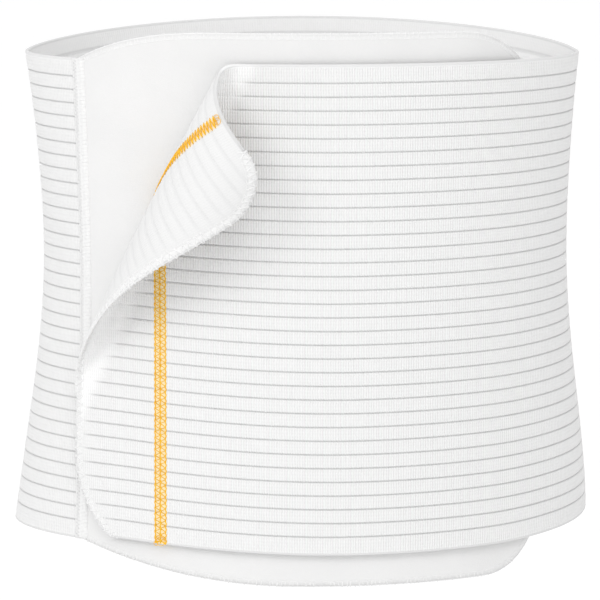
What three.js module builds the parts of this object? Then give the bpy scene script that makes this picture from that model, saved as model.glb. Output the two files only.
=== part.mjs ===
// Abdominal binder in its worn form: a wide ribbed elastic band goes once round the waist and closes over
// a soft panel at the front. The top corner of the band's free end is peeled outwards.
// Millimetres, +Z up, front towards -Y. The origin is on the waist's axis at mid-height of the band.
import * as THREE from 'three';

// Waist form: elliptical rings whose half-width is a cubic of the height
const WAIST_HALF_WIDTH = 143.4;
const DEPTH_RATIO = 0.68;
const TAPER = -7.5;
const FLARE = 10.3;
const HIP_SKEW = 2.4;
const FRONT_ARC = 135;
const BACK_RISE = 11.5;
const BACK_RISE_POWER = 1.5;

// Both sides are drawn in at mid-height, the right one is less flared, tucked in at its bottom edge and
// drawn up there, and the bottom edge sags from the left side to the back
const SIDE_WAIST = 2.4;
const RIGHT_EASE = 3.2;
const RIGHT_TUCK = 1.5;
const TUCK_POWER = 8;
const RIGHT_RISE = 1.4;
const RISE_START = 100;
const RISE_END = 160;
const SIDE_DROOP = 8;
const DROOP_START = 85;
const DROOP_LENGTH = 120;
const DROOP_POWER = 1.75;
const DROOP_FADE_START = 185;
const DROOP_FADE_END = 290;

// Elastic band: a strip of ribs with thin grooves between them
const BAND_HEIGHT = 250;
const BAND_THICKNESS = 1.8;
const GROOVE_COUNT = 34;
const GROOVE_PITCH = 7;
const GROOVE_WIDTH = 1;
const GROOVE_DEPTH = 0.6;
const END_ARC = 124.6;
const TOP_CORNER = 30.4;

// The free end's bottom corner is a wide arc that turns by so many degrees, then a tight arc
const BOTTOM_CORNER = 55;
const BOTTOM_TIP = 9;
const BOTTOM_TURN = 50;
const TURN = THREE.MathUtils.degToRad(BOTTOM_TURN);
const CORNER_HEIGHT = BOTTOM_TIP + (BOTTOM_CORNER - BOTTOM_TIP) * Math.sin(TURN);
const CORNER_LENGTH = BOTTOM_CORNER - (BOTTOM_CORNER - BOTTOM_TIP) * Math.cos(TURN);

// Overlap: the band rises over the panel on one side and over the seam at its free end
const OVERLAP_OFFSET = 3.6;
const RAMP_START = 265;
const RAMP_END = 330;
const SEAM_OFFSET = 1;
const SEAM_RAMP = 40;

// The free end is drawn up a little below its top edge
const END_RISE = 4.2;
const END_RISE_LENGTH = 152;
const END_RISE_POWER = 4;

// Peeled corner: a tight roll along a slanted fold line, then a wide curl. The curl's bend, the flap's
// direction and its tilt all change evenly up the fold, by the amounts given for each millimetre
const FOLD_FOOT = 65.9;
const FOLD_ANGLE = THREE.MathUtils.degToRad(27.03);
const FOLD_RADIUS = 5.7;
const FOLD_TURN = THREE.MathUtils.degToRad(104.7);
const CURL_BEND = 0.0325;
const CURL_BEND_CHANGE = 0.00005;
const FLAP_AZIMUTH = THREE.MathUtils.degToRad(-19.7);
const FLAP_TWIST = THREE.MathUtils.degToRad(-0.1204);
const FLAP_TILT = THREE.MathUtils.degToRad(-16.2);
const FLAP_TILT_CHANGE = THREE.MathUtils.degToRad(0.229);
const FLAP_CENTRE = 100;

// Closure panel: outline heights are measured from the band's top and bottom edges
const PANEL_THICKNESS = 1.8;
const PANEL_END = 134.6;
const TOP_OVERHANG = 15.2;
const TOP_RISE_LENGTH = 80;
const TOP_RISE_POWER = 2.4;
const TOP_END_CORNER = 53;
const BOTTOM_OVERHANG = 16.8;
const BOTTOM_RISE_LENGTH = 120;
const BOTTOM_RISE_POWER = 2;
const BOTTOM_END_CORNER = 38;

// Seam, overlocked rims and marker stitch
const GAP = 0.3;
const SEAM_ARC = -123.6;
const SEAM_WIDTH = 8;
const SEAM_BASE = 1.4;
const SEAM_HEIGHT = 0.8;
const BAND_RIM = 5;
const BAND_RIM_THICKNESS = 2.4;
const PANEL_RIM = 3;
const PANEL_RIM_THICKNESS = 2.2;
const MARKER_ALONG = 51;
const MARKER_WIDTH = 8;
const MARKER_THICKNESS = 0.5;
const MARKER_GAP = 0.7;
const MARKER_MARGIN = 0.5;

// Mesh steps
const ARC_STEPS = 720;
const CURL_COLUMNS = 7;
const ROLL_COLUMNS = 4;
const MIDDLE_COLUMNS = 4;
const FRONT_COLUMNS = 6;
const FRONT_START = 112;
const LOOP_COLUMNS = 13;
const COLUMN_STEP = 1.2;
const PANEL_ROWS = 8;
const EDGE_STEPS = 12;
const CORNER_STEPS = 10;
const TIP_STEPS = 4;
const MARKER_COLUMNS = 3;
const WALL_STEPS = 6;
const ROLL_STEPS = 11;
const CURL_STEPS = 9;
const INNER_ROW_STEP = 4;
const FOOT_SPAN = 42;

// Arc length of the unit ellipse from the front, at equal steps of its angle
const unitArc = [0];
for (let i = 1; i <= ARC_STEPS; i++) {
  const angle = ((i - 0.5) / ARC_STEPS) * Math.PI;
  const speed = Math.hypot(Math.cos(angle), DEPTH_RATIO * Math.sin(angle));
  unitArc.push(unitArc[i - 1] + (speed * Math.PI) / ARC_STEPS);
}
const UNIT_HALF_LOOP = unitArc[ARC_STEPS];
const HALF_LOOP = WAIST_HALF_WIDTH * UNIT_HALF_LOOP;
const LOOP = 2 * HALF_LOOP;

function smoothstep(value, low, high) {
  return THREE.MathUtils.smoothstep(value, low, high);
}

function halfWidth(height) {
  const t = (2 * height) / BAND_HEIGHT - 1;
  return WAIST_HALF_WIDTH + t * (TAPER + t * (FLARE + t * HIP_SKEW));
}

// Ellipse angle whose arc from the front is the given fraction of a unit ellipse's size
function ellipseAngle(arc) {
  const length = Math.min(Math.abs(arc), UNIT_HALF_LOOP);
  let low = 0;
  let high = ARC_STEPS;
  while (high - low > 1) {
    const middle = (low + high) >> 1;
    if (unitArc[middle] > length) high = middle;
    else low = middle;
  }
  const part = (length - unitArc[low]) / (unitArc[high] - unitArc[low]);
  return (Math.sign(arc) * (low + part) * Math.PI) / ARC_STEPS;
}

// Point of the worn wall: arc is measured along the strip from the front centre, positive to +X, and every
// ring closes at the back because its sides stretch beyond the front arc
function wallPoint(arc, height, out) {
  const turned = arc > HALF_LOOP ? arc - LOOP : arc;
  const radius = halfWidth(height);
  const side = Math.max(Math.abs(turned) - FRONT_ARC, 0);
  const stretch = (radius * UNIT_HALF_LOOP - FRONT_ARC) / (HALF_LOOP - FRONT_ARC);
  const front = Math.min(Math.abs(turned), FRONT_ARC);
  const angle = ellipseAngle((Math.sign(turned) * (front + side * stretch)) / radius);
  const azimuth = Math.atan2(DEPTH_RATIO * Math.sin(angle), Math.cos(angle));
  const behind = Math.max(-Math.cos(angle), 0) ** BACK_RISE_POWER;
  const sag = Math.max((-turned - DROOP_START) / DROOP_LENGTH, 0) ** DROOP_POWER;
  const fade = 1 - smoothstep(Math.abs(turned), DROOP_FADE_START, DROOP_FADE_END);
  const rise = RIGHT_RISE * smoothstep(turned, RISE_START, RISE_END) - SIDE_DROOP * sag;
  const fromTop = 1 - height / BAND_HEIGHT;
  const fromMiddle = (2 * height) / BAND_HEIGHT - 1;
  const tuck = RIGHT_TUCK * THREE.MathUtils.clamp(-fromMiddle, 0, 1) ** TUCK_POWER;
  const ease = turned > 0 ? RIGHT_EASE * fromMiddle ** 2 + tuck : 0;
  const drawnIn = SIDE_WAIST * Math.max(1 - fromMiddle ** 2, 0) ** 4 + ease;
  const point = new THREE.Vector3(
    radius * Math.sin(angle) - Math.sign(turned) * drawnIn * Math.sin(angle) ** 4 + out * Math.sin(azimuth),
    -radius * DEPTH_RATIO * Math.cos(angle) - out * Math.cos(azimuth),
    height - BAND_HEIGHT / 2 + BACK_RISE * behind + rise * fade * fromTop,
  );
  return { point, azimuth };
}

// Height of the band's middle surface over the panel's, by distance from the free end
function bandOffset(along) {
  const over = OVERLAP_OFFSET * (1 - smoothstep(along, RAMP_START, RAMP_END));
  return over + SEAM_OFFSET * (1 - smoothstep(along, 0, SEAM_RAMP));
}

// Place of the closed band, by distance from the free end
function closedPlace(along, height, out) {
  const place = wallPoint(along - END_ARC, height, bandOffset(along) + out);
  const belowTop = 1 - (height / BAND_HEIGHT) ** END_RISE_POWER;
  place.point.z += END_RISE * belowTop * (1 - smoothstep(along, 0, END_RISE_LENGTH));
  return place;
}

function bandPoint(along, height, out) {
  const rise = height - FOLD_FOOT;
  const beyond = rise * Math.sin(FOLD_ANGLE) - along * Math.cos(FOLD_ANGLE);
  if (beyond <= 0) return closedPlace(along, height, out).point;

  // Section across the fold: the roll's arc, then the curl's arc
  const upFold = along * Math.sin(FOLD_ANGLE) + rise * Math.cos(FOLD_ANGLE);
  const roll = Math.min(beyond / FOLD_RADIUS, FOLD_TURN);
  const fromCentre = upFold - FLAP_CENTRE;
  const curlRadius = 1 / (CURL_BEND + CURL_BEND_CHANGE * fromCentre);
  const turn = roll + (beyond - roll * FOLD_RADIUS) / curlRadius;
  const rolled = FOLD_RADIUS * Math.sin(roll) + curlRadius * (Math.sin(turn) - Math.sin(roll));
  const raised = FOLD_RADIUS * (1 - Math.cos(roll)) + curlRadius * (Math.cos(roll) - Math.cos(turn));
  const across = rolled - out * Math.sin(turn);
  const off = raised + out * Math.cos(turn);

  // The section stands on the fold line and turns from the wall towards the flap's own direction
  const footAlong = upFold * Math.sin(FOLD_ANGLE);
  const footHeight = FOLD_FOOT + upFold * Math.cos(FOLD_ANGLE);
  const foot = closedPlace(footAlong, footHeight, 0);
  const share = (1 - Math.cos(roll)) / 2;
  const aim = FLAP_AZIMUTH + FLAP_TWIST * fromCentre;
  const azimuth = foot.azimuth + (aim - foot.azimuth) * share;
  const tilt = (FLAP_TILT + FLAP_TILT_CHANGE * fromCentre) * share;
  const local = new THREE.Vector3(-across * Math.cos(FOLD_ANGLE), -off, across * Math.sin(FOLD_ANGLE));
  local.applyAxisAngle(new THREE.Vector3(1, 0, 0), tilt);
  local.applyAxisAngle(new THREE.Vector3(0, 0, 1), azimuth);
  return foot.point.add(local);
}

// Closed solid from an outer and an inner grid of points. Rows run along the strip, both grids have the
// same columns, and their side edges are stitched by height
function sheetSolid(outerRows, innerRows, heights) {
  const columns = outerRows[0].length;
  const positions = [...outerRows, ...innerRows].flat().flatMap((point) => point.toArray());
  const index = [];
  const outerAt = (row, column) => row * columns + column;
  const innerAt = (row, column) => (outerRows.length + row) * columns + column;
  const outerTop = outerRows.length - 1;
  const innerTop = innerRows.length - 1;
  const quad = (a, b, c, d) => index.push(a, b, c, a, c, d);

  for (let column = 0; column + 1 < columns; column++) {
    const next = column + 1;
    for (let row = 0; row < outerTop; row++) {
      quad(outerAt(row, column), outerAt(row, next), outerAt(row + 1, next), outerAt(row + 1, column));
    }
    for (let row = 0; row < innerTop; row++) {
      quad(innerAt(row, column), innerAt(row + 1, column), innerAt(row + 1, next), innerAt(row, next));
    }
    const top = [outerAt(outerTop, column), outerAt(outerTop, next)];
    quad(...top, innerAt(innerTop, next), innerAt(innerTop, column));
    quad(innerAt(0, column), innerAt(0, next), outerAt(0, next), outerAt(0, column));
  }
  for (const column of [0, columns - 1]) {
    let outer = 0;
    let inner = 0;
    while (outer < outerTop || inner < innerTop) {
      const nextOuter = outer < outerTop ? heights.outer[outer + 1] : Infinity;
      const nextInner = inner < innerTop ? heights.inner[inner + 1] : Infinity;
      const advance = nextOuter <= nextInner;
      const far = advance ? outerAt(outer + 1, column) : innerAt(inner + 1, column);
      const triangle = [outerAt(outer, column), far, innerAt(inner, column)];
      if (column > 0) triangle.reverse();
      index.push(...triangle);
      if (advance) outer += 1;
      else inner += 1;
    }
  }
  return solidGeometry(positions, index);
}

// Closed bar: the section's points are placed at each station and the two ends are capped
function sweptSolid(stations, section, place) {
  const positions = stations.flatMap((station) => {
    return section.flatMap(([across, out]) => place(station, across, out).toArray());
  });
  const index = [];
  const sides = section.length;
  const last = (stations.length - 1) * sides;
  for (let i = 0; i < sides; i++) {
    const next = (i + 1) % sides;
    for (let base = 0; base < last; base += sides) {
      const far = base + sides;
      index.push(base + i, base + next, far + next, base + i, far + next, far + i);
    }
    if (i > 1) {
      index.push(0, i, i - 1);
      index.push(last, last + i - 1, last + i);
    }
  }
  return solidGeometry(positions, index);
}

function solidGeometry(positions, index) {
  const geometry = new THREE.BufferGeometry();
  geometry.setAttribute('position', new THREE.Float32BufferAttribute(positions, 3));
  geometry.setIndex(index);
  geometry.computeVertexNormals();
  return geometry;
}

function steps(count, from, to) {
  return Array.from({ length: count + 1 }, (_, i) => from + ((to - from) * i) / count);
}

// Rounded rim section: thin at the cloth's outer edge, full where it meets the cloth
function rimSection(width, thickness) {
  const half = thickness / 2;
  const full = width / 5;
  return [[0, half / 2], [0, -half / 2], [full, -half], [width, -half], [width, half], [full, half]];
}

// Free end of the band inside its overlocked rim: distance from the end where the cloth starts
const RIM_INSET = BAND_RIM + GAP;
const RIM_END_GAP = 1;
function clothStart(height) {
  const low = height < BAND_HEIGHT / 2;
  const corner = low ? BOTTOM_CORNER : TOP_CORNER;
  const fromEdge = Math.min(height, BAND_HEIGHT - height);
  if (fromEdge < RIM_INSET + GAP) return (low ? CORNER_LENGTH : TOP_CORNER) + RIM_END_GAP;
  const rise = Math.max((low ? CORNER_HEIGHT : TOP_CORNER) - fromEdge, 0);
  return corner - Math.sqrt((corner - RIM_INSET) ** 2 - rise ** 2);
}

// Distance from the free end of a line that is the given share of the roll beyond the fold line
function rollLine(height, share) {
  const beyond = share * FOLD_TURN * FOLD_RADIUS;
  return ((height - FOLD_FOOT) * Math.sin(FOLD_ANGLE) - beyond) / Math.cos(FOLD_ANGLE);
}

// Columns as distances from the free end: equal lengths over the panel, then equal angles of the ellipse
const loopFrom = ellipseAngle((RAMP_START - END_ARC) / WAIST_HALF_WIDTH);
const loopTo = ellipseAngle(SEAM_ARC / WAIST_HALF_WIDTH) + 2 * Math.PI;
const loopColumns = steps(LOOP_COLUMNS, loopFrom, loopTo).map((angle) => {
  const step = (Math.min(angle, 2 * Math.PI - angle) / Math.PI) * ARC_STEPS;
  const low = Math.min(Math.floor(step), ARC_STEPS - 1);
  const length = WAIST_HALF_WIDTH * THREE.MathUtils.lerp(unitArc[low], unitArc[low + 1], step - low);
  return END_ARC + (angle > Math.PI ? LOOP - length : length);
});
loopColumns[LOOP_COLUMNS] -= GAP / 2;
const frontColumns = steps(FRONT_COLUMNS, FRONT_START, RAMP_START).slice(0, -1);

function bandColumns(height) {
  const start = clothStart(height);
  const rollEnd = Math.max(rollLine(height, 1), start);
  const wanted = [
    ...steps(CURL_COLUMNS, start, rollEnd),
    ...steps(ROLL_COLUMNS, 1, 0).slice(1).map((share) => rollLine(height, share)),
  ];
  for (let i = 1; i < wanted.length; i++) wanted[i] = Math.max(wanted[i], wanted[i - 1] + COLUMN_STEP);
  const fold = wanted[wanted.length - 1];
  const middle = steps(MIDDLE_COLUMNS + 1, fold, FRONT_START).slice(1, -1);
  return [...wanted, ...middle, ...frontColumns, ...loopColumns];
}

// Elastic band
function buildBand() {
  const edgeMargin = (BAND_HEIGHT - (GROOVE_COUNT - 1) * GROOVE_PITCH) / 2;
  const grooves = Array.from({ length: GROOVE_COUNT }, (_, i) => edgeMargin + i * GROOVE_PITCH);
  const edges = [[0, 0], [RIM_INSET, 0], [BAND_HEIGHT - RIM_INSET, 0], [BAND_HEIGHT, 0]];
  const profile = grooves.flatMap((groove) => [
    [groove - GROOVE_WIDTH / 2, 0],
    [groove, GROOVE_DEPTH],
    [groove + GROOVE_WIDTH / 2, 0],
  ]);
  const outer = [...edges.slice(0, 2), ...profile, ...edges.slice(2)];
  const nearFoot = (groove) => Math.abs(groove - FOLD_FOOT - FOOT_SPAN / 2) < FOOT_SPAN / 2;
  const innerGrooves = grooves.filter((groove, i) => i % INNER_ROW_STEP === 1 || nearFoot(groove));
  const inner = [...edges.slice(0, 2), ...innerGrooves.map((groove) => [groove, 0]), ...edges.slice(2)];
  const half = BAND_THICKNESS / 2;
  const row = (height, out) => bandColumns(height).map((along) => bandPoint(along, height, out));
  return sheetSolid(
    outer.map(([height, depth]) => row(height, half - depth)),
    inner.map(([height]) => row(height, -half)),
    { outer: outer.map(([height]) => height), inner: inner.map(([height]) => height) },
  );
}

// Stations of an outline: each has its point and its unit normal towards the cloth, which is on the left
function outlineStations(points) {
  return points.map((point, i) => {
    const before = points[Math.max(i - 1, 0)];
    const after = points[Math.min(i + 1, points.length - 1)];
    const tangent = after.clone().sub(before).normalize();
    return { point, normal: new THREE.Vector2(-tangent.y, tangent.x) };
  });
}

function insetPoint(station, distance) {
  return station.point.clone().addScaledVector(station.normal, distance);
}

function arcPoints(centreX, centreY, radius, fromDegrees, toDegrees, count = CORNER_STEPS) {
  return steps(count, fromDegrees, toDegrees).map((degrees) => {
    const angle = THREE.MathUtils.degToRad(degrees);
    return new THREE.Vector2(centreX + radius * Math.cos(angle), centreY + radius * Math.sin(angle));
  });
}

// Overlocked rim of the free end, from the top corner down to the bottom corner
function buildBandRim() {
  const straight = steps(EDGE_STEPS * 2, BAND_HEIGHT - TOP_CORNER, CORNER_HEIGHT).slice(1, -1);
  const outline = [
    ...arcPoints(TOP_CORNER, BAND_HEIGHT - TOP_CORNER, TOP_CORNER, 90, 180),
    ...straight.map((height) => new THREE.Vector2(0, height)),
    ...arcPoints(BOTTOM_CORNER, CORNER_HEIGHT, BOTTOM_CORNER, 180, 180 + BOTTOM_TURN),
    ...arcPoints(CORNER_LENGTH, BOTTOM_TIP, BOTTOM_TIP, 180 + BOTTOM_TURN, 270, TIP_STEPS).slice(1),
  ];
  const section = rimSection(BAND_RIM, BAND_RIM_THICKNESS);
  return sweptSolid(outlineStations(outline), section, (station, across, out) => {
    const flat = insetPoint(station, across);
    return bandPoint(flat.x, flat.y, out);
  });
}

// Closure panel outline: bottom and top edges from the seam to the rounded end
const PANEL_START = SEAM_ARC + GAP / 2;
function panelEdge(level, overhang, length, power, corner) {
  const arcs = steps(EDGE_STEPS, PANEL_START, PANEL_END - corner);
  const side = Math.sign(overhang);
  const edge = arcs.map((arc) => {
    const short = Math.max(1 - (arc - PANEL_START) / length, 0);
    return new THREE.Vector2(arc, level + overhang * (1 - short ** power));
  });
  const centreHeight = level + overhang - side * corner;
  return [...edge, ...arcPoints(PANEL_END - corner, centreHeight, corner, side * 90, 0).slice(1)];
}
const panelBottom = panelEdge(0, -BOTTOM_OVERHANG, BOTTOM_RISE_LENGTH, BOTTOM_RISE_POWER, BOTTOM_END_CORNER);
const panelTop = panelEdge(BAND_HEIGHT, TOP_OVERHANG, TOP_RISE_LENGTH, TOP_RISE_POWER, TOP_END_CORNER);
const panelShares = steps(PANEL_ROWS, 0, 1);
const panelSide = panelShares.slice(1, -1).map((share) => {
  return panelBottom.at(-1).clone().lerp(panelTop.at(-1), share);
});
const panelOutline = outlineStations([...panelBottom, ...panelSide, ...panelTop.slice().reverse()]);

function panelPoint(flat, out) {
  return wallPoint(flat.x, flat.y, out).point;
}

function buildPanel() {
  const inset = panelOutline.map((station) => insetPoint(station, PANEL_RIM + GAP));
  const bottom = inset.slice(0, panelBottom.length);
  const top = inset.slice(-panelTop.length).reverse();
  const grid = (out) => panelShares.map((share) => {
    return bottom.map((low, i) => panelPoint(low.clone().lerp(top[i], share), out));
  });
  const half = PANEL_THICKNESS / 2;
  return sheetSolid(grid(half), grid(-half), { outer: panelShares, inner: panelShares });
}

function buildPanelRim() {
  const section = rimSection(PANEL_RIM, PANEL_RIM_THICKNESS);
  return sweptSolid(panelOutline, section, (station, across, out) => {
    return panelPoint(insetPoint(station, across), out);
  });
}

// Joining seam: a flat zigzag side and a raised bead, over the line where band and panel meet
function buildSeam() {
  const half = SEAM_WIDTH / 2;
  const low = SEAM_BASE + SEAM_HEIGHT / 2;
  const high = SEAM_BASE + SEAM_HEIGHT;
  const section = [
    [-half, SEAM_BASE],
    [half, SEAM_BASE],
    [half, low],
    [half / 2, high],
    [0, low],
    [-half, low],
  ];
  return sweptSolid(steps(EDGE_STEPS, BAND_HEIGHT, 0), section, (height, across, out) => {
    return wallPoint(SEAM_ARC + across, height, out).point;
  });
}

// Marker stitch: a flat strip on one face of the free end, over its whole height
function buildMarker(side) {
  const half = MARKER_WIDTH / 2;
  const near = side * (BAND_THICKNESS / 2 + MARKER_GAP);
  const far = near + side * MARKER_THICKNESS;
  const across = steps(MARKER_COLUMNS, -half, half);
  const section = [
    ...across.map((place) => [place, Math.min(near, far)]),
    ...across.reverse().map((place) => [place, Math.max(near, far)]),
  ];
  const foldHeight = FOLD_FOOT + MARKER_ALONG / Math.tan(FOLD_ANGLE);
  const rollHeight = foldHeight + (FOLD_TURN * FOLD_RADIUS) / Math.sin(FOLD_ANGLE);
  const heights = [
    ...steps(CURL_STEPS, BAND_HEIGHT - MARKER_MARGIN, rollHeight),
    ...steps(ROLL_STEPS, rollHeight, foldHeight - half).slice(1),
    ...steps(WALL_STEPS, foldHeight - half, MARKER_MARGIN).slice(1),
  ];
  return sweptSolid(heights, section, (height, across, out) => bandPoint(MARKER_ALONG + across, height, out));
}

// Assembly
const white = new THREE.MeshStandardMaterial({ color: '#efeff0', roughness: 0.85, metalness: 0 });
const velour = new THREE.MeshStandardMaterial({ color: '#e9e6e4', roughness: 0.95, metalness: 0 });
const thread = new THREE.MeshStandardMaterial({ color: '#f2f1f0', roughness: 0.8, metalness: 0 });
const golden = new THREE.MeshStandardMaterial({ color: '#e9a227', roughness: 0.7, metalness: 0 });

const pieces = [
  ['elastic_band', buildBand(), white],
  ['closure_panel', buildPanel(), velour],
  ['band_end_overlock', buildBandRim(), thread],
  ['panel_edge_overlock', buildPanelRim(), thread],
  ['joining_seam', buildSeam(), thread],
  ['marker_stitch_face', buildMarker(1), golden],
  ['marker_stitch_back', buildMarker(-1), golden],
];

const binder = new THREE.Group();
for (const [name, geometry, material] of pieces) {
  const mesh = new THREE.Mesh(geometry, material);
  mesh.name = name;
  binder.add(mesh);
}

export default binder;
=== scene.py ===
# Abdominal binder, dressed: ribbed elastic band, velour panel, overlocked rims, seam and marker stitch.
# The worn form is worked out in millimetres, as in the part's source, and made metres when it is placed.
import bisect
import math
import random

import bmesh
import bpy
from mathutils import Matrix, Vector


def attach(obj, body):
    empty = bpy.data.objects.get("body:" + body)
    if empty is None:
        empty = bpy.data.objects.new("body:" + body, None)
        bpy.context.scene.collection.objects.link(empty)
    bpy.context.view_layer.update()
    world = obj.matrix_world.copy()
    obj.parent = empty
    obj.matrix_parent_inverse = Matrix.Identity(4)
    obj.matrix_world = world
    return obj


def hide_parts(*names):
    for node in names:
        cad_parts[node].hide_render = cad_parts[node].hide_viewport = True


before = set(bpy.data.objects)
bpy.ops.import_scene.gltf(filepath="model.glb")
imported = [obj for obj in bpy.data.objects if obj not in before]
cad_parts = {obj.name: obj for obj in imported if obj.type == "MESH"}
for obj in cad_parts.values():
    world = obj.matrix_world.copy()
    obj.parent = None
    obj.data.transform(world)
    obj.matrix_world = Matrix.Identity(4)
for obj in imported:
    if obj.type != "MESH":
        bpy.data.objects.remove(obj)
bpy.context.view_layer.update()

MM = 0.001
SCENE = bpy.context.scene
DICE = random.Random(7)

# Waist form
WAIST_HALF_WIDTH = 143.4
DEPTH_RATIO = 0.68
TAPER = -7.5
FLARE = 10.3
HIP_SKEW = 2.4
FRONT_ARC = 135
BACK_RISE = 11.5
BACK_RISE_POWER = 1.5
SIDE_WAIST = 2.4
RIGHT_EASE = 3.2
RIGHT_TUCK = 1.5
TUCK_POWER = 8
RIGHT_RISE = 1.4
RISE_START = 100
RISE_END = 160
SIDE_DROOP = 8
DROOP_START = 85
DROOP_LENGTH = 120
DROOP_POWER = 1.75
DROOP_FADE_START = 185
DROOP_FADE_END = 290
ARC_STEPS = 720

# Elastic band and its ribs
BAND_HEIGHT = 250
BAND_HALF = 0.9
GROOVE_COUNT = 34
GROOVE_PITCH = 7
FIRST_GROOVE = (BAND_HEIGHT - (GROOVE_COUNT - 1) * GROOVE_PITCH) / 2
GROOVE_HALF_WIDTH = 0.5
GROOVE_DEPTH = 0.6
RIB_CROWN = 0.16
BACK_GROOVE_DEPTH = 0.22
BACK_GROOVE_HALF_WIDTH = 2.6
TOP_SELVEDGE = 1.4
BOTTOM_SELVEDGE = 0.8
END_ARC = 124.6
TOP_CORNER = 30.4
BOTTOM_CORNER = 55
BOTTOM_TIP = 9
BOTTOM_TURN = 50
TURN = math.radians(BOTTOM_TURN)
CORNER_HEIGHT = BOTTOM_TIP + (BOTTOM_CORNER - BOTTOM_TIP) * math.sin(TURN)
CORNER_LENGTH = BOTTOM_CORNER - (BOTTOM_CORNER - BOTTOM_TIP) * math.cos(TURN)
OVERLAP_OFFSET = 3.6
RAMP_START = 265
RAMP_END = 330
SEAM_OFFSET = 1
SEAM_RAMP = 40
END_RISE = 4.2
END_RISE_LENGTH = 152
END_RISE_POWER = 4

# Peeled corner
FOLD_FOOT = 65.9
FOLD_ANGLE = math.radians(27.03)
FOLD_RADIUS = 5.7
FOLD_TURN = math.radians(104.7)
CURL_BEND = 0.0325
CURL_BEND_CHANGE = 0.00005
FLAP_AZIMUTH = math.radians(-19.7)
FLAP_TWIST = math.radians(-0.1204)
FLAP_TILT = math.radians(-16.2)
FLAP_TILT_CHANGE = math.radians(0.229)
FLAP_CENTRE = 100

# Closure panel
PANEL_HALF = 0.9
PANEL_END = 134.6
TOP_OVERHANG = 15.2
TOP_RISE_LENGTH = 80
TOP_RISE_POWER = 2.4
TOP_END_CORNER = 53
BOTTOM_OVERHANG = 16.8
BOTTOM_RISE_LENGTH = 120
BOTTOM_RISE_POWER = 2
BOTTOM_END_CORNER = 38

# Sewing
SEAM_ARC = -123.6
BAND_RIM = 5
PANEL_RIM = 3
MARKER_ALONG = 51
CLOTH_INSET = 0.6

# Mesh steps
FLAP_COLUMNS = 82
FLAP_REACH = 110
FRONT_COLUMNS = 28
LOOP_COLUMNS = 66
PANEL_COLUMNS = 100
PANEL_CORNER_COLUMNS = 24
PANEL_ROWS = 110

# Arc length of the unit ellipse from the front, at equal steps of its angle
UNIT_ARC = [0.0]
for step in range(ARC_STEPS):
    middle = (step + 0.5) / ARC_STEPS * math.pi
    speed = math.hypot(math.cos(middle), DEPTH_RATIO * math.sin(middle))
    UNIT_ARC.append(UNIT_ARC[-1] + speed * math.pi / ARC_STEPS)
UNIT_HALF_LOOP = UNIT_ARC[-1]
HALF_LOOP = WAIST_HALF_WIDTH * UNIT_HALF_LOOP
LOOP = 2 * HALF_LOOP


def smoothstep(value, low, high):
    t = min(max((value - low) / (high - low), 0), 1)
    return t * t * (3 - 2 * t)


def steps(count, low, high):
    return [low + (high - low) * i / count for i in range(count + 1)]


def half_width(height):
    t = 2 * height / BAND_HEIGHT - 1
    return WAIST_HALF_WIDTH + t * (TAPER + t * (FLARE + t * HIP_SKEW))


def ellipse_angle(arc):
    length = min(abs(arc), UNIT_HALF_LOOP)
    low = min(max(bisect.bisect_right(UNIT_ARC, length) - 1, 0), ARC_STEPS - 1)
    part = (length - UNIT_ARC[low]) / (UNIT_ARC[low + 1] - UNIT_ARC[low])
    return math.copysign((low + part) * math.pi / ARC_STEPS, arc)


def wall_place(arc, height, out):
    """Point of the worn wall in millimetres, and the direction that the wall faces there."""
    turned = arc - LOOP if arc > HALF_LOOP else arc
    radius = half_width(height)
    side = max(abs(turned) - FRONT_ARC, 0)
    stretch = (radius * UNIT_HALF_LOOP - FRONT_ARC) / (HALF_LOOP - FRONT_ARC)
    front = min(abs(turned), FRONT_ARC)
    angle = ellipse_angle(math.copysign(front + side * stretch, turned) / radius)
    azimuth = math.atan2(DEPTH_RATIO * math.sin(angle), math.cos(angle))
    behind = max(-math.cos(angle), 0) ** BACK_RISE_POWER
    sag = max((-turned - DROOP_START) / DROOP_LENGTH, 0) ** DROOP_POWER
    fade = 1 - smoothstep(abs(turned), DROOP_FADE_START, DROOP_FADE_END)
    rise = RIGHT_RISE * smoothstep(turned, RISE_START, RISE_END) - SIDE_DROOP * sag
    from_middle = 2 * height / BAND_HEIGHT - 1
    tuck = RIGHT_TUCK * min(max(-from_middle, 0), 1) ** TUCK_POWER
    ease = RIGHT_EASE * from_middle**2 + tuck if turned > 0 else 0
    drawn_in = SIDE_WAIST * max(1 - from_middle**2, 0) ** 4 + ease
    across = radius * math.sin(angle) - math.copysign(drawn_in, turned) * math.sin(angle) ** 4
    point = Vector((
        across + out * math.sin(azimuth),
        -radius * DEPTH_RATIO * math.cos(angle) - out * math.cos(azimuth),
        height - BAND_HEIGHT / 2 + BACK_RISE * behind + rise * fade * (1 - height / BAND_HEIGHT),
    ))
    return point, azimuth


def wall_point(arc, height, out):
    return wall_place(arc, height, out)[0]


def band_offset(along):
    over = OVERLAP_OFFSET * (1 - smoothstep(along, RAMP_START, RAMP_END))
    return over + SEAM_OFFSET * (1 - smoothstep(along, 0, SEAM_RAMP))


def closed_place(along, height, out):
    """Place of the closed band, with its free end drawn up a little below the top edge."""
    point, facing = wall_place(along - END_ARC, height, band_offset(along) + out)
    below_top = 1 - (height / BAND_HEIGHT) ** END_RISE_POWER
    point.z += END_RISE * below_top * (1 - smoothstep(along, 0, END_RISE_LENGTH))
    return point, facing


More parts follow.
